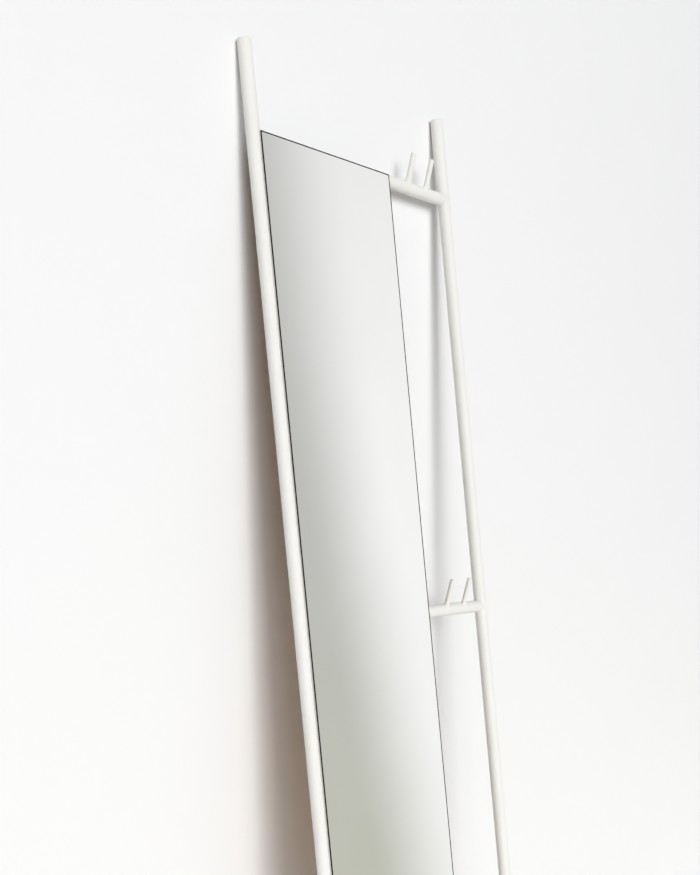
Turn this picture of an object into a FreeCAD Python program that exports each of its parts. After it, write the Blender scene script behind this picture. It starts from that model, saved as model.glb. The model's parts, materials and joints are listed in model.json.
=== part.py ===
"""Leaning ladder mirror: two round poles, three rungs, pegs and a long mirror on the rungs' front.

Every piece is drawn upright: X runs along the rungs, Z up the poles from the floor and -Y to the front.
The whole ladder is then leaned back about the X axis, so that its feet stand flat on Z = 0 and its top
caps touch a wall on the +Y side.
"""
import math
import os

import FreeCAD
import Part

Vector = FreeCAD.Vector

# Ladder
LEAN = 7.0                   # degrees from upright
LADDER_LENGTH = 1900.0       # along the poles, from the floor to the top of the caps
POLE_DIAMETER = 25.0
POLE_WALL = 1.5
POLE_SPACING = 560.0         # between the poles' axes
RUNG_DIAMETER = 24.0
RUNG_WALL = 1.5
LOWEST_RUNG = 82.0           # along the poles, from the floor to the lowest rung's axis
TOP_RUNG_DROP = 161.0        # along the poles, from the top of the caps to the top rung's axis
WELD_GAP = 0.05              # between a coped end and the tube that it is welded to

# Top caps and feet, both plugged into the poles
CAP_HEIGHT = 4.0
CAP_ROUNDING = 2.5
FOOT_HEIGHT = 14.0           # on the pole's axis, from the floor to the end of the tube
PLUG_LENGTH = 20.0
PLUG_CLEARANCE = 0.15        # on the radius

# Pegs, on the bare stretch of the upper and the middle rung
PEG_DIAMETER = 10.0
PEG_FORWARD = 5.0            # from the rung's axis forward to the peg's axis
PEG_REACH = 63.0             # along the peg, from beside the rung's axis to the tip
PEG_TILT = 22.5              # degrees forward of the poles' direction
PEG_ROUNDING = 2.5
PEG_FROM_RIGHT_POLE = 73.2   # from the right pole's axis to the outer peg's axis
PEG_SPACING = 60.0
BEAD_HEIGHT = 1.2            # of the weld bead, above where the peg's back leaves the rung
BEAD_DEPTH = 8.2             # of the weld bead below there, before it is coped
BEAD_FLARE = 0.15            # the bead's spread for each millimetre down
SPIGOT_DIAMETER = 6.0
SPIGOT_DEPTH = 4.0           # under the rung's surface
SPIGOT_CLEARANCE = 0.1       # on the radius

# Mirror
MIRROR_WIDTH = 353.5
LEFT_OVERLAP = 0.3           # of the mirror's left edge past the left pole's axis
END_OVERLAP = 4.0            # of the mirror's ends past the top and bottom rungs' axes
GLASS_THICKNESS = 2.0
BOARD_THICKNESS = 3.0
BOARD_INSET = 1.0            # of the board's edges behind the mirror's edges
BOARD_CLEARANCE = 0.1        # between the board and the front of poles and rungs
TAPE_THICKNESS = 0.4
TAPE_WIDTH = 20.0
TAPE_MARGIN = 30.0           # from the board's edge to the outer tapes' middle, and to the tapes' ends
TAPE_COUNT = 3
STRIP_WALL = 0.6             # of the black edge strip beside the glass
STRIP_DEPTH = 1.3            # of the strip beside the glass, from the glass's front
STRIP_LIP = 2.1              # of the strip over the glass, from its outer face
STRIP_LIP_THICKNESS = 0.2
GLASS_CLEARANCE = 0.1        # between the glass's edge and the strip

# Tabs under the rungs, which the board is screwed to
TAB_WIDTH = 32.0
TAB_LENGTH = 36.0            # from the rung's axis to the tab's free end
TAB_THICKNESS = 2.0
TAB_ROOT = 5.0               # from the rung's axis to where the tab starts
TAB_CORNER = 4.0
TAB_SPACING = 200.0
SCREW_DIAMETER = 3.5
SCREW_HEAD_DIAMETER = 7.0
SCREW_HEAD_HEIGHT = 2.2
SCREW_DEPTH = 2.4            # of the thread in the board
SCREW_CLEARANCE = 0.25       # on the radius, in the tab
THREAD_CLEARANCE = 0.05      # on the radius, in the board, and under the screw's tip
SCREW_SPACING = 16.0
SCREW_DROP = 24.0            # from the rung's axis to the screws
SLOT_WIDTH = 1.0
SLOT_DEPTH = 1.1

# Places worked out from the sizes above
POLE_RADIUS = POLE_DIAMETER / 2
RUNG_RADIUS = RUNG_DIAMETER / 2
PEG_RADIUS = PEG_DIAMETER / 2
PEG_START = Vector(0, -PEG_FORWARD, 0)
LEFT_POLE_X = -POLE_SPACING / 2
RIGHT_POLE_X = POLE_SPACING / 2
TUBE_TOP = LADDER_LENGTH - CAP_HEIGHT
RUNG_NAMES = ("lower", "middle", "upper")
RUNG_PITCH = (LADDER_LENGTH - TOP_RUNG_DROP - LOWEST_RUNG) / (len(RUNG_NAMES) - 1)
RUNG_HEIGHTS = {name: LOWEST_RUNG + RUNG_PITCH * place for place, name in enumerate(RUNG_NAMES)}
PEG_RUNGS = ("middle", "upper")
PEG_PLACES = {"outer": RIGHT_POLE_X - PEG_FROM_RIGHT_POLE,
              "inner": RIGHT_POLE_X - PEG_FROM_RIGHT_POLE - PEG_SPACING}
MIRROR_LEFT = LEFT_POLE_X - LEFT_OVERLAP
MIRROR_RIGHT = MIRROR_LEFT + MIRROR_WIDTH
MIRROR_MIDDLE = (MIRROR_LEFT + MIRROR_RIGHT) / 2
MIRROR_TOP = RUNG_HEIGHTS["upper"] + END_OVERLAP
MIRROR_BOTTOM = RUNG_HEIGHTS["lower"] - END_OVERLAP

# Depths of the mirror's layers, from back to front
BOARD_BACK = -max(RUNG_RADIUS, POLE_RADIUS) - BOARD_CLEARANCE
BOARD_FRONT = BOARD_BACK - BOARD_THICKNESS
GLASS_BACK = BOARD_FRONT - TAPE_THICKNESS
GLASS_FRONT = GLASS_BACK - GLASS_THICKNESS
STRIP_FRONT = GLASS_FRONT - STRIP_LIP_THICKNESS
STRIP_BACK = GLASS_FRONT + STRIP_DEPTH
TAB_BACK = BOARD_BACK + TAB_THICKNESS

# The lean, and the shift that centres the leaned ladder on the Z axis from front to back
LEAN_ANGLE = math.radians(LEAN)
FRONT_OF_FEET = -POLE_RADIUS / math.cos(LEAN_ANGLE)
WALL_PLANE = ((POLE_RADIUS - CAP_ROUNDING) * math.cos(LEAN_ANGLE)
              + (LADDER_LENGTH - CAP_ROUNDING) * math.sin(LEAN_ANGLE) + CAP_ROUNDING)
CENTRE_SHIFT = -(FRONT_OF_FEET + WALL_PLANE) / 2


def block(low, high):
    """A box between two corners."""
    size = high - low
    return Part.makeBox(size.x, size.y, size.z, low)


def rod(radius, start, end):
    """A round rod from one point to another."""
    axis = end - start
    return Part.makeCylinder(radius, axis.Length, start, axis)


def prism(points, along):
    """A flat outline pushed along a vector."""
    outline = Part.makePolygon(points + points[:1])
    return Part.Face(outline).extrude(along)


def pole_body(x):
    """The solid cylinder that a pole's outside lies on, longer than the pole at both ends."""
    spare = Vector(0, 0, POLE_DIAMETER)
    return rod(POLE_RADIUS + WELD_GAP, Vector(x, 0, 0) - spare, Vector(x, 0, LADDER_LENGTH) + spare)


def rung_body(height):
    """The solid cylinder that a rung's outside lies on, with room for a weld."""
    return rod(RUNG_RADIUS + WELD_GAP, Vector(LEFT_POLE_X, 0, height), Vector(RIGHT_POLE_X, 0, height))


def pole(x):
    """A straight tube from its foot to its cap."""
    foot, top = Vector(x, 0, FOOT_HEIGHT), Vector(x, 0, TUBE_TOP)
    return rod(POLE_RADIUS, foot, top).cut(rod(POLE_RADIUS - POLE_WALL, foot, top))


def plug(x, start, end):
    """The part of a cap or a foot that fills the bore of a pole."""
    return rod(POLE_RADIUS - POLE_WALL - PLUG_CLEARANCE, Vector(x, 0, start), Vector(x, 0, end))


def top_cap(x):
    """A disc with a rounded rim that closes the top of a pole."""
    disc = rod(POLE_RADIUS, Vector(x, 0, TUBE_TOP), Vector(x, 0, LADDER_LENGTH))
    rim = [edge for edge in disc.Edges
           if len(edge.Vertexes) == 1 and edge.CenterOfMass.z > TUBE_TOP + CAP_HEIGHT / 2]
    rounded = disc.makeFillet(CAP_ROUNDING, [edge for edge in rim if edge.Curve.TypeId == "Part::GeomCircle"])
    return rounded.fuse(plug(x, TUBE_TOP - PLUG_LENGTH, TUBE_TOP)).removeSplitter()


def foot(x):
    """A rubber foot under a pole, cut flat along the floor of the leaned ladder."""
    puck = rod(POLE_RADIUS, Vector(x, 0, -POLE_DIAMETER), Vector(x, 0, FOOT_HEIGHT))
    reach = 2 * POLE_DIAMETER
    drop = reach * math.tan(LEAN_ANGLE)
    under_floor = prism([Vector(x - reach, -reach, -drop), Vector(x - reach, reach, drop),
                         Vector(x - reach, reach, -2 * reach), Vector(x - reach, -reach, -2 * reach)],
                        Vector(2 * reach, 0, 0))
    return puck.cut(under_floor).fuse(plug(x, FOOT_HEIGHT, FOOT_HEIGHT + PLUG_LENGTH)).removeSplitter()


def peg_direction():
    """The way that a peg points: up along the poles and forward."""
    tilt = math.radians(PEG_TILT)
    return Vector(0, -math.sin(tilt), math.cos(tilt))


def way_out(behind):
    """How far along a peg a line at some distance behind its axis leaves the rung."""
    way = peg_direction()
    start = PEG_START + Vector(0, way.z, -way.y) * behind
    along = start.dot(way)
    return math.sqrt(along ** 2 - start.dot(start) + RUNG_RADIUS ** 2) - along


def rung(name):
    """A cross tube, coped to the poles and drilled for its pegs."""
    height = RUNG_HEIGHTS[name]
    left, right = Vector(LEFT_POLE_X, 0, height), Vector(RIGHT_POLE_X, 0, height)
    tube = rod(RUNG_RADIUS, left, right).cut(rod(RUNG_RADIUS - RUNG_WALL, left, right))
    tube = tube.cut(pole_body(LEFT_POLE_X)).cut(pole_body(RIGHT_POLE_X))
    if name in PEG_RUNGS:
        for x in PEG_PLACES.values():
            inside = Vector(x, 0, height) + PEG_START
            drill = SPIGOT_DIAMETER / 2 + SPIGOT_CLEARANCE
            tube = tube.cut(rod(drill, inside, inside + peg_direction() * RUNG_DIAMETER))
    return tube


def peg_form():
    """A round peg on a rung whose axis passes through the origin.

    It has a rounded tip, a weld bead coped to the rung and a spigot through the rung's wall.
    """
    way = peg_direction()
    tip = PEG_START + way * PEG_REACH
    bar = rod(PEG_RADIUS, PEG_START, tip)
    end = [edge for edge in bar.Edges
           if edge.Curve.TypeId == "Part::GeomCircle" and edge.CenterOfMass.distanceToPoint(tip) < PEG_ROUNDING]
    bar = bar.makeFillet(PEG_ROUNDING, end)
    bead_length = BEAD_DEPTH + BEAD_HEIGHT
    bead = Part.makeCone(PEG_RADIUS + BEAD_FLARE * bead_length, PEG_RADIUS, bead_length,
                         PEG_START + way * (way_out(PEG_RADIUS) - BEAD_DEPTH), way)
    surface = PEG_START + way * way_out(0)
    spigot = rod(SPIGOT_DIAMETER / 2, surface - way * SPIGOT_DEPTH, surface + way * PEG_DIAMETER)
    half_rung = Vector(PEG_DIAMETER + RUNG_DIAMETER, 0, 0)
    tube = rod(RUNG_RADIUS + WELD_GAP, -half_rung, half_rung)
    return bar.cut(tube).fuse(bead.cut(tube)).fuse(spigot).removeSplitter()


def peg(name, place):
    """A peg at its place on its rung."""
    shape = peg_form()
    shape.translate(Vector(PEG_PLACES[place], 0, RUNG_HEIGHTS[name]))
    return shape


def mirror_glass():
    """The silvered pane, inside its edge strips."""
    edge = STRIP_WALL + GLASS_CLEARANCE
    return block(Vector(MIRROR_LEFT + edge, GLASS_FRONT, MIRROR_BOTTOM + edge),
                 Vector(MIRROR_RIGHT - edge, GLASS_BACK, MIRROR_TOP - edge))


def strip_section():
    """The outline of an edge strip as (distance from its outer face, depth) pairs."""
    return [(0, STRIP_FRONT), (STRIP_LIP, STRIP_FRONT), (STRIP_LIP, GLASS_FRONT),
            (STRIP_WALL, GLASS_FRONT), (STRIP_WALL, STRIP_BACK), (0, STRIP_BACK)]


def upright_strip(outer_x, inward):
    """A black strip on the mirror's left or right edge, over its whole height."""
    points = [Vector(outer_x + inward * across, depth, MIRROR_BOTTOM)
              for across, depth in strip_section()]
    return prism(points, Vector(0, 0, MIRROR_TOP - MIRROR_BOTTOM))


def level_strip(outer_z, inward):
    """A black strip on the mirror's top or bottom edge, notched round the upright strips."""
    points = [Vector(MIRROR_LEFT + STRIP_WALL, depth, outer_z + inward * across)
              for across, depth in strip_section()]
    strip = prism(points, Vector(MIRROR_WIDTH - 2 * STRIP_WALL, 0, 0))
    for outer_x, turn in ((MIRROR_LEFT, 1), (MIRROR_RIGHT, -1)):
        strip = strip.cut(upright_strip(outer_x, turn))
    return strip


def tab_places():
    """Rung name, side, X of the tab's middle and the way it points along Z, for every tab."""
    for name in RUNG_NAMES:
        away = 1 if name == "lower" else -1
        for side, half in (("left", -0.5), ("right", 0.5)):
            yield name, side, MIRROR_MIDDLE + half * TAB_SPACING, away


def screw_places():
    """The X and Z of every screw."""
    for name, _, x, away in tab_places():
        for half in (-0.5, 0.5):
            yield x + half * SCREW_SPACING, RUNG_HEIGHTS[name] + away * SCREW_DROP


def backing_board():
    """The board behind the glass, drilled for the screws from behind."""
    board = block(Vector(MIRROR_LEFT + BOARD_INSET, BOARD_FRONT, MIRROR_BOTTOM + BOARD_INSET),
                  Vector(MIRROR_RIGHT - BOARD_INSET, BOARD_BACK, MIRROR_TOP - BOARD_INSET))
    for x, z in screw_places():
        hole = rod(SCREW_DIAMETER / 2 + THREAD_CLEARANCE, Vector(x, BOARD_BACK, z),
                   Vector(x, BOARD_BACK - SCREW_DEPTH - THREAD_CLEARANCE, z))
        board = board.cut(hole)
    return board


def bonding_tapes():
    """Upright bands of tape that hold the glass on the board."""
    first = MIRROR_LEFT + BOARD_INSET + TAPE_MARGIN
    last = MIRROR_RIGHT - BOARD_INSET - TAPE_MARGIN
    bands = []
    for place in range(TAPE_COUNT):
        x = first + (last - first) * place / (TAPE_COUNT - 1)
        bands.append(block(
            Vector(x - TAPE_WIDTH / 2, GLASS_BACK, MIRROR_BOTTOM + BOARD_INSET + TAPE_MARGIN),
            Vector(x + TAPE_WIDTH / 2, BOARD_FRONT, MIRROR_TOP - BOARD_INSET - TAPE_MARGIN)))
    return Part.makeCompound(bands)


def tab(name, x, away):
    """A flat tab welded to the front of a rung, with rounded corners at its free end."""
    height = RUNG_HEIGHTS[name]
    root, end = height + away * TAB_ROOT, height + away * TAB_LENGTH
    plate = block(Vector(x - TAB_WIDTH / 2, BOARD_BACK, min(root, end)),
                  Vector(x + TAB_WIDTH / 2, TAB_BACK, max(root, end)))
    corners = [edge for edge in plate.Edges
               if abs(edge.CenterOfMass.z - end) < WELD_GAP and abs(edge.tangentAt(edge.FirstParameter).y) > 0.5]
    plate = plate.makeFillet(TAB_CORNER, corners).cut(rung_body(height))
    for half in (-0.5, 0.5):
        spot = Vector(x + half * SCREW_SPACING, BOARD_BACK, height + away * SCREW_DROP)
        through = Vector(0, TAB_THICKNESS, 0)
        plate = plate.cut(rod(SCREW_DIAMETER / 2 + SCREW_CLEARANCE, spot, spot + through))
    return plate


def screw(x, z):
    """A slotted screw whose head lies on the back of a tab."""
    seat, tip = Vector(x, TAB_BACK, z), Vector(x, BOARD_BACK - SCREW_DEPTH, z)
    top = seat + Vector(0, SCREW_HEAD_HEIGHT, 0)
    slot = block(Vector(x - SCREW_HEAD_DIAMETER, top.y - SLOT_DEPTH, z - SLOT_WIDTH / 2),
                 Vector(x + SCREW_HEAD_DIAMETER, top.y + SLOT_DEPTH, z + SLOT_WIDTH / 2))
    head = rod(SCREW_HEAD_DIAMETER / 2, seat, top).cut(slot)
    return head.fuse(rod(SCREW_DIAMETER / 2, tip, seat)).removeSplitter()


def upright_pieces():
    """Every piece by name, before the ladder is leaned."""
    pieces = {}
    for side, x in (("left", LEFT_POLE_X), ("right", RIGHT_POLE_X)):
        pieces[f"{side}_pole"] = pole(x)
        pieces[f"{side}_top_cap"] = top_cap(x)
        pieces[f"{side}_foot"] = foot(x)
    for name in RUNG_NAMES:
        pieces[f"{name}_rung"] = rung(name)
    for name in PEG_RUNGS:
        for place in PEG_PLACES:
            pieces[f"{name}_{place}_peg"] = peg(name, place)
    pieces["mirror_glass"] = mirror_glass()
    pieces["backing_board"] = backing_board()
    pieces["bonding_tapes"] = bonding_tapes()
    pieces["left_edge_strip"] = upright_strip(MIRROR_LEFT, 1)
    pieces["right_edge_strip"] = upright_strip(MIRROR_RIGHT, -1)
    pieces["top_edge_strip"] = level_strip(MIRROR_TOP, -1)
    pieces["bottom_edge_strip"] = level_strip(MIRROR_BOTTOM, 1)
    for name, side, x, away in tab_places():
        pieces[f"{name}_{side}_tab"] = tab(name, x, away)
    pieces["tab_screws"] = Part.makeCompound([screw(x, z) for x, z in screw_places()])
    return pieces


def leaned(shape):
    """The shape leaned back on its feet and centred from front to back."""
    turned = shape.copy()
    turned.rotate(Vector(0, 0, 0), Vector(1, 0, 0), -LEAN)
    turned.translate(Vector(0, CENTRE_SHIFT, 0))
    return turned


os.makedirs("parts", exist_ok=True)
for node, piece in upright_pieces().items():
    leaned(piece).exportStep(f"parts/{node}.step")
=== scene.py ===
"""Finishes, weld seams and studio of a leaning ladder mirror made of round white tube.

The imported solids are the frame. This script dresses each of them, adds the weld seams where tubes and tabs
meet, and stands the ladder in a plain pale studio, seen from its left.
"""
import json
import logging
import math
from dataclasses import dataclass
from enum import Enum

import bpy
from mathutils import Matrix, Vector


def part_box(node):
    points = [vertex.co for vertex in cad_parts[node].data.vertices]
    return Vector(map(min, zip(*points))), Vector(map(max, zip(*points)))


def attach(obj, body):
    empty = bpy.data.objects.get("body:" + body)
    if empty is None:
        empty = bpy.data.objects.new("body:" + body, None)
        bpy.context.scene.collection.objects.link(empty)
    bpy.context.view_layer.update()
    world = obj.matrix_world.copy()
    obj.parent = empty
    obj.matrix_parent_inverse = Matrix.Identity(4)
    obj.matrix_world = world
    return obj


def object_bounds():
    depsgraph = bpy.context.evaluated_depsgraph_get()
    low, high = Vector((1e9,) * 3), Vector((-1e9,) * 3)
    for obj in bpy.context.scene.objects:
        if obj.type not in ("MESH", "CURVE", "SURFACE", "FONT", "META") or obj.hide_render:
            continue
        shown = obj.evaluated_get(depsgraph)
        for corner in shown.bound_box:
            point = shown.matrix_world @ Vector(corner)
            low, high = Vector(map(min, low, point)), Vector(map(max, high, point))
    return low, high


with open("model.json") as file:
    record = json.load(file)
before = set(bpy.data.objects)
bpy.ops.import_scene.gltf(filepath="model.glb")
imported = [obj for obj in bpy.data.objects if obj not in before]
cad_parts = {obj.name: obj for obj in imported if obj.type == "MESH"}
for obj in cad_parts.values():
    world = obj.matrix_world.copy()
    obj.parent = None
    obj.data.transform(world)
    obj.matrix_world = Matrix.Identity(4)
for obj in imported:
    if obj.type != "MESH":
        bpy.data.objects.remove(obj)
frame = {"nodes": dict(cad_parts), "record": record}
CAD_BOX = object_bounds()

LOG = logging.getLogger("ladder_mirror")
BODY = "root"

Colour = tuple[float, float, float]
Direction = tuple[float, float, float]
Range = tuple[float, float]

MILLIMETRE = 0.001
QUARTER_TURN = math.radians(90.0)

# The colour sockets of a Mix node, by number, because its other sockets have the same names.
MIX_SHARE = 0
MIX_FIRST = 6
MIX_SECOND = 7
MIX_RESULT = 2

# A sprayed or moulded skin, with sizes in metres.
SKIN_SIZES = {"Grain Size": 0.0012, "Patch Size": 0.09, "Fleck Size": 0.02}
GRAIN_DETAIL = 1.5
GRAIN_ROUGHNESS = 0.45
PATCH_DETAIL = 3.0
PATCH_ROUGHNESS = 0.55
PATCH_RANGE = (0.3, 0.7)
FLECK_REACH = 0.035

# Traces of wiping, with sizes in metres.
WIPE_SIZES = {"Length": 0.25, "Width": 0.03}
WIPE_SLANT = math.radians(24.0)
SMEAR_DETAIL = 3.0
SMEAR_ROUGHNESS = 0.6
SMEAR_RANGE = (0.45, 0.75)
HAZE_DETAIL = 2.0
HAZE_RANGE = (0.35, 0.7)

LAMP_WHITE = (0.985, 1.0, 1.01)


class Side(Enum):
    """The two poles, seen from the front."""

    LEFT = "left"
    RIGHT = "right"


class Level(Enum):
    """The three rungs, from the floor up."""

    LOWER = "lower"
    MIDDLE = "middle"
    UPPER = "upper"


class Slot(Enum):
    """The finishes that the record names."""

    PAINT = "white_paint"
    CAPS = "white_plastic"
    RUBBER = "foot_rubber"
    SILVER = "silvered_glass"
    BOARD = "hard_board"
    FOAM = "foam_tape"
    STRIP = "black_strip"
    ZINC = "screw_steel"


class Tree:
    """A node tree with short ways to add, set and link its nodes."""

    def __init__(self, tree: bpy.types.NodeTree) -> None:
        """Keeps the tree and empties it."""
        self.tree = tree
        self.tree.nodes.clear()

    def add(self, kind: str, inputs: dict | None = None, **settings: object) -> bpy.types.Node:
        """Adds one node.

        Args:
            kind: Blender's name for the node type.
            inputs: Values or output sockets for its inputs, by socket name or number.
            settings: The node's own properties.

        Returns:
            The new node.
        """
        node = self.tree.nodes.new(kind)
        for name, value in settings.items():
            setattr(node, name, value)
        for key, value in (inputs or {}).items():
            self.feed(node.inputs[key], value)
        return node

    def feed(self, socket: bpy.types.NodeSocket, value: object) -> None:
        """Links an output to an input socket, or sets the socket to a plain value.

        Args:
            socket: The input socket.
            value: The output socket, or the plain value.
        """
        if isinstance(value, bpy.types.NodeSocket):
            self.tree.links.new(value, socket)
        else:
            socket.default_value = value

    def math(self, operation: str, first: object, second: object = 0.0) -> bpy.types.NodeSocket:
        """The result of one sum on two values or sockets."""
        return self.add("ShaderNodeMath", {0: first, 1: second}, operation=operation).outputs[0]

    def fit(self, value: object, low: float, high: float, to_low: float = 0.0,
            to_high: float = 1.0) -> bpy.types.NodeSocket:
        """A value moved smoothly from one range to another.

        Args:
            value: The socket to read.
            low: Where the first range starts.
            high: Where the first range ends.
            to_low: The result at low.
            to_high: The result at high.

        Returns:
            The socket with the result.
        """
        node = self.add("ShaderNodeMapRange", {0: value, 1: low, 2: high, 3: to_low, 4: to_high},
                        interpolation_type="SMOOTHSTEP")
        return node.outputs[0]

    def blend(self, share: object, first: object, second: object) -> bpy.types.NodeSocket:
        """The mix of two colours.

        Args:
            share: The second colour's share, from 0 to 1.
            first: A colour, or a socket with one.
            second: Another.

        Returns:
            The socket with the mixed colour.
        """
        node = self.add("ShaderNodeMix", data_type="RGBA")
        for number, value in ((MIX_SHARE, share), (MIX_FIRST, first), (MIX_SECOND, second)):
            self.feed(node.inputs[number], (*value, 1.0) if isinstance(value, tuple) else value)
        return node.outputs[MIX_RESULT]

    def place(self) -> bpy.types.NodeSocket:
        """The piece's own coordinates, in metres."""
        return self.add("ShaderNodeTexCoord").outputs["Object"]

    def noise(self, place: object, scale: object, detail: float,
              roughness: float = 0.5) -> bpy.types.NodeSocket:
        """A soft noise.

        Args:
            place: The coordinates to read it at.
            scale: How many of its swells there are to a unit.
            detail: How many finer layers lie on them.
            roughness: How strong those layers are.

        Returns:
            The socket with its height, from 0 to 1.
        """
        node = self.add("ShaderNodeTexNoise",
                        {"Vector": place, "Scale": scale, "Detail": detail, "Roughness": roughness})
        return node.outputs[0]

    def bump(self, shader: bpy.types.Node, height: object, depth: float, strength: float) -> None:
        """Raises a shader's surface by a height from 0 to 1, which stands for a depth in metres."""
        node = self.add("ShaderNodeBump", {"Height": height, "Distance": depth, "Strength": strength})
        self.feed(shader.inputs["Normal"], node.outputs[0])


def new_group(name: str, inputs: dict[str, float],
              outputs: tuple[str, ...]) -> tuple[Tree, dict[str, bpy.types.NodeSocket], bpy.types.Node]:
    """Starts a shader node group with float sockets.

    Args:
        name: The group's name.
        inputs: Its inputs and their usual values.
        outputs: Its outputs.

    Returns:
        The group's tree, its input sockets by name and its output node.
    """
    group = bpy.data.node_groups.new(name, "ShaderNodeTree")
    tree = Tree(group)
    for socket, value in inputs.items():
        entry = group.interface.new_socket(socket, in_out="INPUT", socket_type="NodeSocketFloat")
        entry.default_value = value
    for socket in outputs:
        group.interface.new_socket(socket, in_out="OUTPUT", socket_type="NodeSocketFloat")
    given = tree.add("NodeGroupInput").outputs
    return tree, {socket: given[socket] for socket in inputs}, tree.add("NodeGroupOutput")


def skin_group() -> bpy.types.NodeTree:
    """A sprayed or moulded skin: fine grain, broad patches and sparse flecks.

    Returns:
        The group, with sizes in metres as inputs.
    """
    tree, given, out = new_group("sprayed_skin", SKIN_SIZES, ("Grain", "Patch", "Fleck"))
    place = tree.place()
    fine, broad, sparse = (tree.math("DIVIDE", 1.0, given[size]) for size in SKIN_SIZES)
    patch = tree.noise(place, broad, PATCH_DETAIL, PATCH_ROUGHNESS)
    fleck = tree.add("ShaderNodeTexVoronoi", {"Vector": place, "Scale": sparse}).outputs["Distance"]
    tree.feed(out.inputs["Grain"], tree.noise(place, fine, GRAIN_DETAIL, GRAIN_ROUGHNESS))
    tree.feed(out.inputs["Patch"], tree.fit(patch, *PATCH_RANGE))
    tree.feed(out.inputs["Fleck"], tree.fit(fleck, 0.0, FLECK_REACH, 1.0, 0.0))
    return tree.tree


def wipe_group() -> bpy.types.NodeTree:
    """Faint traces of wiping: long soft smears that lean across the surface.

    Returns:
        The group, with the smear's length and width in metres as inputs.
    """
    tree, given, out = new_group("wiped_film", WIPE_SIZES, ("Smear", "Haze"))
    place = tree.place()
    turned = tree.add("ShaderNodeMapping", {"Vector": place, "Rotation": (0.0, WIPE_SLANT, 0.0)}).outputs[0]
    long, wide = (tree.math("DIVIDE", 1.0, given[size]) for size in WIPE_SIZES)
    stretch = tree.add("ShaderNodeCombineXYZ", {"X": wide, "Y": long, "Z": long}).outputs[0]
    along = tree.add("ShaderNodeVectorMath", {0: turned, 1: stretch}, operation="MULTIPLY").outputs[0]
    smear = tree.noise(along, 1.0, SMEAR_DETAIL, SMEAR_ROUGHNESS)
    tree.feed(out.inputs["Smear"], tree.fit(smear, *SMEAR_RANGE))
    tree.feed(out.inputs["Haze"], tree.fit(tree.noise(place, long, HAZE_DETAIL), *HAZE_RANGE))
    return tree.tree


class Effects:
    """The node groups that several finishes share."""

    skin: bpy.types.NodeTree
    wipe: bpy.types.NodeTree

    @classmethod
    def build(cls) -> None:
        """Builds the groups once, before any finish."""
        cls.skin, cls.wipe = skin_group(), wipe_group()


def start_material(name: str, shader: dict[str, object]) -> tuple[bpy.types.Material, Tree, bpy.types.Node]:
    """Starts a material with one Principled shader.

    Args:
        name: The material's name.
        shader: Constant values for the shader's sockets.

    Returns:
        The material, its tree and the shader node.
    """
    material = bpy.data.materials.new(name)
    material.use_nodes = True
    tree = Tree(material.node_tree)
    principled = tree.add("ShaderNodeBsdfPrincipled", shader)
    tree.add("ShaderNodeOutputMaterial", {"Surface": principled.outputs[0]})
    return material, tree, principled


@dataclass(frozen=True)
class SkinFinish:
    """A sprayed or moulded finish with grain, patches and flecks."""

    slot: Slot
    colour: Colour
    shade: Colour
    fleck: Colour
    smooth: float
    rough: float
    grain: float
    depth: float
    patch: float = 0.09
    fleck_spread: float = 0.02
    fleck_share: float = 0.5
    specular: float = 0.4
    strength: float = 1.0

    def material(self) -> bpy.types.Material:
        """Builds the finish.

        Returns:
            The material.
        """
        material, tree, shader = start_material(self.slot.value, {"Specular IOR Level": self.specular})
        skin = tree.add("ShaderNodeGroup", node_tree=Effects.skin)
        for socket, size in zip(SKIN_SIZES, (self.grain, self.patch, self.fleck_spread)):
            tree.feed(skin.inputs[socket], size)
        ground = tree.blend(skin.outputs["Patch"], self.colour, self.shade)
        share = tree.math("MULTIPLY", skin.outputs["Fleck"], self.fleck_share)
        tree.feed(shader.inputs["Base Color"], tree.blend(share, ground, self.fleck))
        roughness = tree.fit(skin.outputs["Patch"], 0.0, 1.0, self.smooth, self.rough)
        tree.feed(shader.inputs["Roughness"], roughness)
        tree.bump(shader, skin.outputs["Grain"], self.depth, self.strength)
        return material


@dataclass(frozen=True)
class SilverFinish:
    """Silvered glass, clean but for a faint film left by wiping."""

    slot: Slot = Slot.SILVER
    colour: Colour = (0.93, 0.94, 0.925)
    film: Colour = (0.915, 0.92, 0.90)
    clean: float = 0.0
    hazy: float = 0.02

    def material(self) -> bpy.types.Material:
        """Builds the finish.

        Returns:
            The material.
        """
        material, tree, shader = start_material(self.slot.value, {"Metallic": 1.0})
        wipe = tree.add("ShaderNodeGroup", node_tree=Effects.wipe)
        tree.feed(shader.inputs["Base Color"], tree.blend(wipe.outputs["Haze"], self.colour, self.film))
        roughness = tree.fit(wipe.outputs["Smear"], 0.0, 1.0, self.clean, self.hazy)
        tree.feed(shader.inputs["Roughness"], roughness)
        return material


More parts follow.
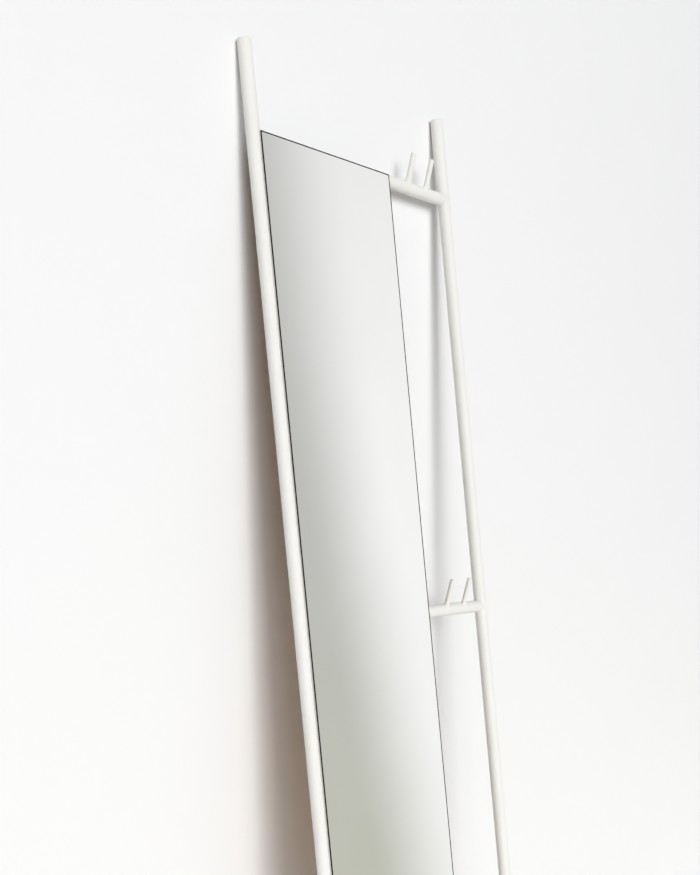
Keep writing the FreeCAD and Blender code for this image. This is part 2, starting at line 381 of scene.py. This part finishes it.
@dataclass(frozen=True)
class FibreFinish:
    """Hard board with pressed fibres, natural at the back and under a thin white lacquer elsewhere."""

    slot: Slot = Slot.BOARD
    colour: Colour = (0.84, 0.83, 0.80)
    fibre: Colour = (0.78, 0.765, 0.73)
    back: Colour = (0.54, 0.325, 0.17)
    back_fibre: Colour = (0.42, 0.23, 0.115)
    fibre_width: float = 0.0007
    fibre_length: float = 0.006
    fibre_turns: Range = (0.35, 1.25)
    fibre_detail: float = 3.0
    raised: Range = (0.5, 0.75)
    dulled: Range = (0.4, 0.7)
    back_from: float = 0.5
    depth: float = 0.00012
    smooth: float = 0.55
    rough: float = 0.78
    specular: float = 0.35
    strength: float = 0.6

    def material(self) -> bpy.types.Material:
        """Builds the finish.

        Returns:
            The material.
        """
        material, tree, shader = start_material(self.slot.value, {"Specular IOR Level": self.specular})
        place = tree.place()
        stretch = (1 / self.fibre_width, 1 / self.fibre_length, 1 / self.fibre_length)
        layers = []
        for turn in self.fibre_turns:
            turned = tree.add("ShaderNodeMapping",
                              {"Vector": place, "Rotation": (0.0, turn, 0.0), "Scale": stretch}).outputs[0]
            layers.append(tree.noise(turned, 1.0, self.fibre_detail))
        pressed = tree.math("MAXIMUM", *layers)
        raised = tree.fit(pressed, *self.raised)
        facing = tree.add("ShaderNodeNewGeometry").outputs["True Normal"]
        backward = tree.add("ShaderNodeSeparateXYZ", {0: facing}).outputs["Y"]
        behind = tree.math("GREATER_THAN", backward, self.back_from)
        coated = tree.blend(raised, self.colour, self.fibre)
        bare = tree.blend(raised, self.back, self.back_fibre)
        tree.feed(shader.inputs["Base Color"], tree.blend(behind, coated, bare))
        tree.feed(shader.inputs["Roughness"], tree.fit(pressed, *self.dulled, self.smooth, self.rough))
        tree.bump(shader, pressed, self.depth, self.strength)
        return material


@dataclass(frozen=True)
class StripFinish:
    """Black strip with a fine grain and a satin sheen, rubbed smoother in places."""

    slot: Slot = Slot.STRIP
    colour: Colour = (0.008, 0.008, 0.009)
    rubbed: Colour = (0.016, 0.016, 0.017)
    grain: float = 0.0004
    grain_detail: float = 1.0
    depth: float = 0.00003
    smooth: float = 0.30
    rough: float = 0.46
    specular: float = 0.2
    strength: float = 0.5

    def material(self) -> bpy.types.Material:
        """Builds the finish.

        Returns:
            The material.
        """
        material, tree, shader = start_material(self.slot.value, {"Specular IOR Level": self.specular})
        grain = tree.noise(tree.place(), 1 / self.grain, self.grain_detail)
        wipe = tree.add("ShaderNodeGroup", node_tree=Effects.wipe)
        tree.feed(shader.inputs["Base Color"], tree.blend(wipe.outputs["Smear"], self.colour, self.rubbed))
        roughness = tree.fit(wipe.outputs["Haze"], 0.0, 1.0, self.rough, self.smooth)
        tree.feed(shader.inputs["Roughness"], roughness)
        tree.bump(shader, grain, self.depth, self.strength)
        return material


@dataclass(frozen=True)
class FoamFinish:
    """Dark foam tape with open cells on its cut edge."""

    slot: Slot = Slot.FOAM
    colour: Colour = (0.105, 0.105, 0.108)
    cell_colour: Colour = (0.055, 0.055, 0.058)
    cell: float = 0.0006
    pits: Range = (0.1, 0.5)
    depth: float = 0.0002
    smooth: float = 0.82
    rough: float = 0.95
    specular: float = 0.2
    strength: float = 0.8

    def material(self) -> bpy.types.Material:
        """Builds the finish.

        Returns:
            The material.
        """
        material, tree, shader = start_material(self.slot.value, {"Specular IOR Level": self.specular})
        voronoi = tree.add("ShaderNodeTexVoronoi", {"Vector": tree.place(), "Scale": 1 / self.cell})
        cells = voronoi.outputs["Distance"]
        pit = tree.fit(cells, *self.pits, 1.0, 0.0)
        tree.feed(shader.inputs["Base Color"], tree.blend(pit, self.colour, self.cell_colour))
        tree.feed(shader.inputs["Roughness"], tree.fit(pit, 0.0, 1.0, self.smooth, self.rough))
        tree.bump(shader, cells, self.depth, self.strength)
        return material


@dataclass(frozen=True)
class ZincFinish:
    """Zinc plated steel: bluish crystals with a faint yellow bloom."""

    slot: Slot = Slot.ZINC
    colour: Colour = (0.60, 0.61, 0.63)
    bloom: Colour = (0.66, 0.63, 0.55)
    bloom_size: float = 0.006
    crystal: float = 0.0009
    depth: float = 0.00002
    smooth: float = 0.26
    rough: float = 0.44
    strength: float = 0.5

    def material(self) -> bpy.types.Material:
        """Builds the finish.

        Returns:
            The material.
        """
        material, tree, shader = start_material(self.slot.value, {"Metallic": 1.0})
        cells = tree.add("ShaderNodeTexVoronoi", {"Vector": tree.place(), "Scale": 1 / self.crystal})
        skin = tree.add("ShaderNodeGroup", node_tree=Effects.skin)
        tree.feed(skin.inputs["Patch Size"], self.bloom_size)
        tree.feed(shader.inputs["Base Color"], tree.blend(skin.outputs["Patch"], self.colour, self.bloom))
        grey = tree.add("ShaderNodeRGBToBW", {0: cells.outputs["Color"]}).outputs[0]
        tree.feed(shader.inputs["Roughness"], tree.fit(grey, 0.0, 1.0, self.smooth, self.rough))
        tree.bump(shader, grey, self.depth, self.strength)
        return material


POWDER_COAT = SkinFinish(slot=Slot.PAINT, colour=(0.900, 0.889, 0.860), shade=(0.882, 0.870, 0.835),
                         fleck=(0.70, 0.67, 0.60), smooth=0.36, rough=0.46, grain=0.0014, depth=0.00005)
CAP_PLASTIC = SkinFinish(slot=Slot.CAPS, colour=(0.896, 0.885, 0.856), shade=(0.878, 0.866, 0.831),
                         fleck=(0.78, 0.76, 0.70), smooth=0.42, rough=0.52, grain=0.0006, depth=0.00003)
FOOT_RUBBER = SkinFinish(slot=Slot.RUBBER, colour=(0.62, 0.60, 0.57), shade=(0.56, 0.54, 0.51),
                         fleck=(0.40, 0.38, 0.36), smooth=0.72, rough=0.88, grain=0.0008, depth=0.00010,
                         patch=0.02, fleck_spread=0.006)
FINISHES = (POWDER_COAT, CAP_PLASTIC, FOOT_RUBBER, SilverFinish(), FibreFinish(), StripFinish(), FoamFinish(),
            ZincFinish())


class Workshop:
    """The materials by slot, and the one way in which pieces are dressed."""

    def __init__(self) -> None:
        """Builds every finish."""
        Effects.build()
        self.materials = {finish.slot: finish.material() for finish in FINISHES}

    def dress(self, piece: bpy.types.Object, slot: Slot) -> None:
        """Gives a piece the material of its slot, and only that.

        Args:
            piece: The piece.
            slot: Its slot.
        """
        piece.data.materials.clear()
        piece.data.materials.append(self.materials[slot])
        LOG.info("%s: %s", piece.name, slot.value)

    def dress_node(self, name: str) -> None:
        """Dresses a node of the frame in the finish that the record gives it."""
        slots = {part["node"]: part["material_slot"] for part in frame["record"]["subparts"]}
        self.dress(frame["nodes"][name], Slot(slots[name]))


@dataclass
class LeanedAxes:
    """The ladder's own axes, read from where its lowest and highest rungs are."""

    origin: Vector
    turn: Matrix

    @classmethod
    def from_frame(cls) -> "LeanedAxes":
        """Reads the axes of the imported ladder.

        Returns:
            The axes, with the origin on the lowest rung's middle.
        """
        low, high = (centre_of(f"{level.value}_rung") for level in (Level.LOWER, Level.UPPER))
        lean = math.atan2(high.y - low.y, high.z - low.z)
        return cls(origin=low, turn=Matrix.Rotation(-lean, 4, "X"))

    def place(self, point: Vector) -> Vector:
        """A point given along the ladder's own axes, in the shared frame."""
        return self.origin + self.turn.to_3x3() @ point

    def local(self, point: Vector) -> Vector:
        """A point of the shared frame, along the ladder's own axes."""
        return self.turn.to_3x3().transposed() @ (point - self.origin)

    def height_of(self, level: Level) -> float:
        """How far a rung lies above the lowest one, along the poles."""
        return self.local(centre_of(f"{level.value}_rung")).z


def centre_of(node: str) -> Vector:
    """The middle of a node's box."""
    low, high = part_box(node)
    return (low + high) / 2


def rung_radius(level: Level) -> float:
    """Half the thickness of a rung."""
    low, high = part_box(f"{level.value}_rung")
    return (high.y - low.y) / 2


def deselect_all() -> None:
    """Deselects everything, so that operators act on new pieces alone."""
    for piece in bpy.context.selected_objects:
        piece.select_set(False)


@dataclass(frozen=True)
class Joint:
    """A place where a round stub is welded to the side of a tube that it stands square to.

    The stub's direction points away from the tube. on_axis is a point of the stub's axis, and from_tube is
    the step to it from the tube's axis.
    """

    name: str
    on_axis: Vector
    from_tube: Vector
    stub: Vector
    tube: Vector
    stub_radius: float
    tube_radius: float

    def beside(self, angle: float, outward: float) -> Vector:
        """The step from the stub's axis to a point beside it, at an angle round it and a distance from it."""
        return (self.tube * math.cos(angle) + self.tube.cross(self.stub) * math.sin(angle)) * outward

    def squareness(self, angle: float, outward: float) -> float:
        """How squarely the tube's surface faces along the stub.

        Args:
            angle: Round the stub's axis.
            outward: The distance from the stub's axis.

        Returns:
            1 where it faces straight on, 0 where it runs alongside.
        """
        away = self.from_tube + self.beside(angle, outward)
        aside = away - self.tube * away.dot(self.tube) - self.stub * away.dot(self.stub)
        return max(0.0, 1.0 - aside.length_squared / self.tube_radius ** 2)

    def on_tube(self, angle: float, outward: float) -> Vector:
        """A point of the tube's surface.

        Args:
            angle: Round the stub's axis.
            outward: The distance from the stub's axis.

        Returns:
            The point in the shared frame.
        """
        step = self.beside(angle, outward)
        height = self.tube_radius * math.sqrt(self.squareness(angle, outward))
        return self.on_axis + step + self.stub * (height - (self.from_tube + step).dot(self.stub))


@dataclass
class Welder:
    """Lays the rippled seams that cover the joints."""

    shop: Workshop
    sunk: float = 0.0004
    ripple: float = 0.06
    ripple_pitch: float = 0.0030
    ring_steps: int = 104
    ring_sides: int = 10
    torus_radius: float = 1.0
    torus_thickness: float = 0.1
    bead_sides: int = 16
    bead_steps: int = 56
    bead_bluntness: int = 8

    def ring(self, joint: Joint, leg: float) -> None:
        """Lays a hollow seam round a stub.

        Args:
            joint: The joint.
            leg: The seam's width on either surface.
        """
        deselect_all()
        bpy.ops.mesh.primitive_torus_add(major_segments=self.ring_steps, minor_segments=self.ring_sides,
                                         major_radius=self.torus_radius, minor_radius=self.torus_thickness)
        ripples = round(2 * math.pi * joint.stub_radius / self.ripple_pitch)
        for vertex in bpy.context.object.data.vertices:
            spot = vertex.co.copy()
            angle = math.atan2(spot.y, spot.x)
            turn = math.atan2(spot.z, math.hypot(spot.x, spot.y) - self.torus_radius)
            ripple = 1.0 + self.ripple * math.sin(ripples * angle)
            width = leg * ripple * joint.squareness(angle, joint.stub_radius)
            share = (1.0 + math.sin(turn)) / 2
            hollow = max(0.0, math.cos(turn))
            sunk = self.sunk * (1.0 - hollow)
            outward = joint.stub_radius + width * (1.0 - share) ** 2 * hollow - sunk
            off_tube = width * share ** 2 * hollow - sunk
            vertex.co = joint.on_tube(angle, outward) + joint.stub * off_tube
        self.finish(joint.name)

    def bead(self, name: str, middle: Vector, length: float, radius: float) -> None:
        """Lays a straight bead along the rungs' way.

        Args:
            name: The bead's name.
            middle: Its middle in the shared frame.
            length: Its length.
            radius: Its radius.
        """
        deselect_all()
        bpy.ops.mesh.primitive_uv_sphere_add(segments=self.bead_sides, ring_count=self.bead_steps)
        for vertex in bpy.context.object.data.vertices:
            spot = vertex.co.copy()
            ripple = 1.0 + self.ripple * math.sin(math.pi * length * spot.z / self.ripple_pitch)
            thick = radius * ripple * (1.0 - spot.z ** self.bead_bluntness)
            angle = math.atan2(spot.y, spot.x)
            step = Vector((spot.z * length / 2, thick * math.cos(angle), thick * math.sin(angle)))
            vertex.co = middle + step
        self.finish(name)

    def finish(self, name: str) -> None:
        """Turns the new seam's faces outwards, smooths and dresses it, and lets it ride.

        Args:
            name: The seam's name.
        """
        seam = bpy.context.object
        seam.name = name
        bpy.ops.object.mode_set(mode="EDIT")
        bpy.ops.mesh.select_all(action="SELECT")
        bpy.ops.mesh.normals_make_consistent(inside=False)
        bpy.ops.object.mode_set(mode="OBJECT")
        bpy.ops.object.shade_smooth()
        self.shop.dress(seam, Slot.PAINT)
        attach(seam, BODY)


@dataclass
class Ladder:
    """Poles, rungs, pegs, caps and feet, with the weld seams that join them."""

    shop: Workshop
    axes: LeanedAxes
    welder: Welder
    rung_leg: float = 0.0030
    peg_leg: float = 0.0018
    peg_collar: float = 0.0006

    def dress(self) -> None:
        """Dresses the ladder's own nodes."""
        for side in Side:
            for piece in ("pole", "top_cap", "foot"):
                self.shop.dress_node(f"{side.value}_{piece}")
        for level in Level:
            self.shop.dress_node(f"{level.value}_rung")
        for level in (Level.MIDDLE, Level.UPPER):
            for place in ("inner", "outer"):
                self.shop.dress_node(f"{level.value}_{place}_peg")

    def build(self) -> None:
        """Adds a weld seam at each end of each rung and round each peg's root."""
        for level in Level:
            for side in Side:
                self.welder.ring(self.rung_joint(level, side), self.rung_leg)
        for mount in frame["record"]["mounts"]:
            if mount["kind"] == "pin":
                self.welder.ring(self.peg_joint(mount), self.peg_leg)

    def rung_joint(self, level: Level, side: Side) -> Joint:
        """The joint between one end of a rung and its pole.

        Args:
            level: The rung.
            side: The pole.

        Returns:
            The joint.
        """
        pole_low, pole_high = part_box(f"{side.value}_pole")
        middle = (pole_low.x + pole_high.x) / 2
        spot = Vector((middle, 0.0, self.axes.height_of(level)))
        return Joint(name=f"{level.value}_{side.value}_weld",
                     on_axis=self.axes.place(spot), from_tube=Vector(),
                     stub=Vector((-math.copysign(1.0, middle), 0.0, 0.0)),
                     tube=self.axes.turn.to_3x3() @ Vector((0.0, 0.0, 1.0)),
                     stub_radius=rung_radius(level), tube_radius=(pole_high.x - pole_low.x) / 2)

    def peg_joint(self, mount: dict) -> Joint:
        """The joint between a peg and its rung.

        Args:
            mount: The peg's mount in the record.

        Returns:
            The joint.
        """
        level, place = mount["name"].split("_")[:2]
        spot = Vector(mount["pos_m"])
        return Joint(name=f"{level}_{place}_peg_weld", on_axis=spot,
                     from_tube=spot - centre_of(f"{level}_rung"),
                     stub=Vector(mount["axis"]), tube=Vector((1.0, 0.0, 0.0)),
                     stub_radius=mount["dims"]["r_mm"] * MILLIMETRE + self.peg_collar,
                     tube_radius=rung_radius(Level(level)))


@dataclass
class MirrorPanel:
    """The pane, its black edge strips, the board behind it and the tabs and screws that hold the board."""

    shop: Workshop
    axes: LeanedAxes
    welder: Welder
    bead_radius: float = 0.0017
    bead_proud: float = 0.35

    def build(self) -> None:
        """Adds the bead along each tab's back, where it meets its rung."""
        for level in Level:
            for side in Side:
                self.tab_bead(f"{level.value}_{side.value}_tab", level)

    def tab_bead(self, tab: str, level: Level) -> None:
        """Lays a bead in the corner between a rung and the back of one of its tabs.

        Args:
            tab: The tab's node.
            level: The rung.
        """
        spots = [self.axes.local(vertex.co) for vertex in frame["nodes"][tab].data.vertices]
        back, height = max(spot.y for spot in spots), self.axes.height_of(level)
        left, right = (pick(spot.x for spot in spots) for pick in (min, max))
        way = math.copysign(1.0, sum(spot.z for spot in spots) / len(spots) - height)
        corner = math.sqrt(rung_radius(level) ** 2 - back ** 2)
        proud = self.bead_radius * self.bead_proud
        middle = Vector(((left + right) / 2, back + proud, height + way * (corner + proud)))
        self.welder.bead(f"{tab}_weld", self.axes.place(middle), right - left, self.bead_radius)

    def dress(self) -> None:
        """Dresses the panel's nodes."""
        for name in ("mirror_glass", "backing_board", "bonding_tapes", "tab_screws"):
            self.shop.dress_node(name)
        for edge in ("left", "right", "top", "bottom"):
            self.shop.dress_node(f"{edge}_edge_strip")
        for level in Level:
            for side in Side:
                self.shop.dress_node(f"{level.value}_{side.value}_tab")


@dataclass(frozen=True)
class Lamp:
    """A square lamp: its turn to the right, its size in metres, its power in watts and its colour."""

    name: str
    turn: float
    size: float
    power: float
    colour: Colour


@dataclass
class Studio:
    """Pale floor and wall, soft lamps in front, a bright room for the mirror to show, and the camera."""

    floor_reach: float = 2.4
    floor_shown: float = 0.9
    wall_reach: float = 3.2
    wall_shown: float = 4.2
    wall_gap: float = 0.0004
    wall_middle: float = 2.2
    stage_fade: float = 0.5
    stage_roughness: float = 0.9
    stage_specular: float = 0.1
    mottle_scale: float = 3.0
    mottle_detail: float = 5.0
    mottle_depth: float = 0.015
    pale: Colour = (0.938, 0.938, 0.938)
    floor_bounce: Colour = (0.64, 0.61, 0.57)
    floor_glow: float = 0.32
    floor_lift: float = 0.38
    wall_bounce: Colour = (0.74, 0.74, 0.74)
    lamp_aim: Vector = Vector((0.0, 0.0, 1.1))
    lamp_rise: float = math.radians(9.0)
    lamp_distance: float = 25.0
    lamps: tuple[Lamp, ...] = (Lamp("broad_lamp", math.radians(-27.0), 16.0, 1960.0, LAMP_WHITE),
                               Lamp("crisp_lamp", math.radians(-21.5), 9.5, 1890.0, LAMP_WHITE),
                               Lamp("front_lamp", math.radians(-10.0), 10.0, 1150.0, LAMP_WHITE))
    fill_left: Colour = (0.220, 0.214, 0.206)
    fill_right: Colour = (0.288, 0.288, 0.288)
    fill_turn: Range = (-0.7, 0.7)
    backdrop: Colour = (0.95, 0.95, 0.95)
    room_bright: Colour = (0.985, 0.985, 0.985)
    room_high: Colour = (0.888, 0.888, 0.888)
    room_dim: Colour = (0.551, 0.5535, 0.536)
    room_low: Colour = (0.569, 0.570, 0.5015)
    room_across: Direction = (0.9889, -0.1489, 0.0057)
    room_bow: float = 0.415
    room_edge: Range = (0.848, 0.888)
    room_dim_rise: Range = (-0.2, 0.2)
    room_bright_rise: Range = (0.1, 0.5)
    camera_place: Vector = Vector((-1.82035, -1.36511, 1.10773))
    camera_yaw: float = math.radians(50.894)
    camera_pitch: float = math.radians(-6.588)
    camera_sensor: float = 36.0
    camera_lens: float = 49.75
    camera_rise: float = 0.238

    def build(self) -> None:
        """Builds the whole studio."""
        self.add_floor()
        self.add_wall()
        for lamp in self.lamps:
            self.add_lamp(lamp)
        self.light_room()
        self.add_camera()

    def stage_material(self, name: str, shown: float, bounce: Colour, one_sided: bool, glow: float = 0.0,
                       lift: float = 0.0) -> bpy.types.Material:
        """A pale matt material that fades out round the object, but still throws light back.

        Args:
            name: The material's name.
            shown: How far from its middle it shows, in metres.
            bounce: Its colour for the light that it throws back.
            one_sided: Whether it can be seen through from behind.
            glow: How much light it adds to that.
            lift: How much paler it is to the eye than the low lamps would make it.

        Returns:
            The material.
        """
        material, tree, shader = start_material(name, {"Roughness": self.stage_roughness,
                                                       "Specular IOR Level": self.stage_specular})
        place = tree.place()
        thrown = tree.add("ShaderNodeLightPath").outputs["Is Diffuse Ray"]
        mottle = tree.noise(place, self.mottle_scale, self.mottle_detail)
        deeper = tuple(channel - self.mottle_depth for channel in self.pale)
        colour = tree.blend(thrown, tree.blend(mottle, self.pale, deeper), bounce)
        tree.feed(shader.inputs["Base Color"], colour)
        tree.feed(shader.inputs["Emission Color"], colour)
        tree.feed(shader.inputs["Emission Strength"], tree.fit(thrown, 0.0, 1.0, lift, glow))
        far = tree.add("ShaderNodeVectorMath", {0: place}, operation="LENGTH").outputs["Value"]
        faded = tree.fit(far, shown * self.stage_fade, shown)
        clear = tree.math("MULTIPLY", faded, tree.math("SUBTRACT", 1.0, thrown))
        if one_sided:
            clear = tree.math("MAXIMUM", clear, tree.add("ShaderNodeNewGeometry").outputs["Backfacing"])
        through = tree.add("ShaderNodeBsdfTransparent")
        mixed = tree.add("ShaderNodeMixShader", {0: clear, 1: shader.outputs[0], 2: through.outputs[0]})
        output = next(node for node in tree.tree.nodes if node.type == "OUTPUT_MATERIAL")
        tree.feed(output.inputs["Surface"], mixed.outputs[0])
        return material

    def add_floor(self) -> None:
        """Adds the floor."""
        deselect_all()
        bpy.ops.mesh.primitive_plane_add(size=2 * self.floor_reach)
        floor = bpy.context.object
        floor.name = "floor"
        material = self.stage_material("floor", self.floor_shown, self.floor_bounce, one_sided=False,
                                       glow=self.floor_glow, lift=self.floor_lift)
        floor.data.materials.append(material)

    def add_wall(self) -> None:
        """Adds the wall that the top caps lean on, cut off at the floor."""
        deselect_all()
        place = (0.0, CAD_BOX[1].y + self.wall_gap, self.wall_middle)
        bpy.ops.mesh.primitive_plane_add(size=2 * self.wall_reach, location=place,
                                         rotation=(QUARTER_TURN, 0.0, 0.0))
        bpy.ops.object.mode_set(mode="EDIT")
        bpy.ops.mesh.bisect(plane_co=(0.0, 0.0, 0.0), plane_no=(0.0, 0.0, 1.0), clear_inner=True)
        bpy.ops.object.mode_set(mode="OBJECT")
        wall = bpy.context.object
        wall.name = "wall"
        material = self.stage_material("wall", self.wall_shown, self.wall_bounce, one_sided=True)
        wall.data.materials.append(material)

    def add_lamp(self, lamp: Lamp) -> None:
        """Adds one soft lamp in front, which the mirror doesn't show.

        Args:
            lamp: The lamp.
        """
        flat = math.cos(self.lamp_rise)
        way = Vector((math.sin(lamp.turn) * flat, -math.cos(lamp.turn) * flat, math.sin(self.lamp_rise)))
        light = bpy.data.lights.new(lamp.name, "AREA")
        light.energy = lamp.power
        light.size = lamp.size
        light.color = lamp.colour
        holder = bpy.data.objects.new(lamp.name, light)
        holder.location = self.lamp_aim + way * self.lamp_distance
        holder.rotation_euler = (-way).to_track_quat("-Z", "Y").to_euler()
        holder.visible_glossy = False
        bpy.context.scene.collection.objects.link(holder)

    def light_room(self) -> None:
        """Lights the room: a soft fill, a pale backdrop and, for shiny faces, a room brighter on one side."""
        world = bpy.data.worlds.new("room")
        world.use_nodes = True
        bpy.context.scene.world = world
        tree = Tree(world.node_tree)
        way = tree.add("ShaderNodeTexCoord").outputs["Generated"]
        across = tree.add("ShaderNodeVectorMath", {0: way, 1: self.room_across}, operation="DOT_PRODUCT")
        parts = tree.add("ShaderNodeSeparateXYZ", {0: way}).outputs
        rise = parts["Z"]
        bow = tree.math("MULTIPLY", tree.math("MULTIPLY", rise, rise), self.room_bow)
        side = tree.math("ADD", across.outputs["Value"], bow)
        dim = tree.blend(tree.fit(rise, *self.room_dim_rise), self.room_low, self.room_dim)
        bright = tree.blend(tree.fit(rise, *self.room_bright_rise), self.room_bright, self.room_high)
        shown = tree.blend(tree.fit(side, *self.room_edge), dim, bright)
        fill = tree.blend(tree.fit(parts["X"], *self.fill_turn), self.fill_left, self.fill_right)
        path = tree.add("ShaderNodeLightPath")
        seen = tree.blend(path.outputs["Is Glossy Ray"], fill, shown)
        colour = tree.blend(path.outputs["Is Camera Ray"], seen, self.backdrop)
        background = tree.add("ShaderNodeBackground", {"Color": colour, "Strength": 1.0})
        tree.add("ShaderNodeOutputWorld", {"Surface": background.outputs[0]})

    def add_camera(self) -> None:
        """Adds the camera where the photograph was taken from."""
        camera = bpy.data.cameras.new("camera")
        camera.sensor_width = self.camera_sensor
        camera.lens = self.camera_lens
        camera.shift_y = self.camera_rise
        holder = bpy.data.objects.new("camera", camera)
        holder.location = self.camera_place
        holder.rotation_euler = (QUARTER_TURN + self.camera_pitch, 0.0, -self.camera_yaw)
        bpy.context.scene.collection.objects.link(holder)
        bpy.context.scene.camera = holder
        bpy.context.scene.view_settings.view_transform = "Standard"


def main() -> None:
    """Dresses the ladder and its mirror and sets up the studio."""
    logging.basicConfig(level=logging.INFO, format="%(name)s %(message)s")
    shop = Workshop()
    axes, welder = LeanedAxes.from_frame(), Welder(shop)
    for part in (Ladder(shop, axes, welder), MirrorPanel(shop, axes, welder)):
        part.dress()
        part.build()
    Studio().build()


if __name__ == "__main__":
    main()
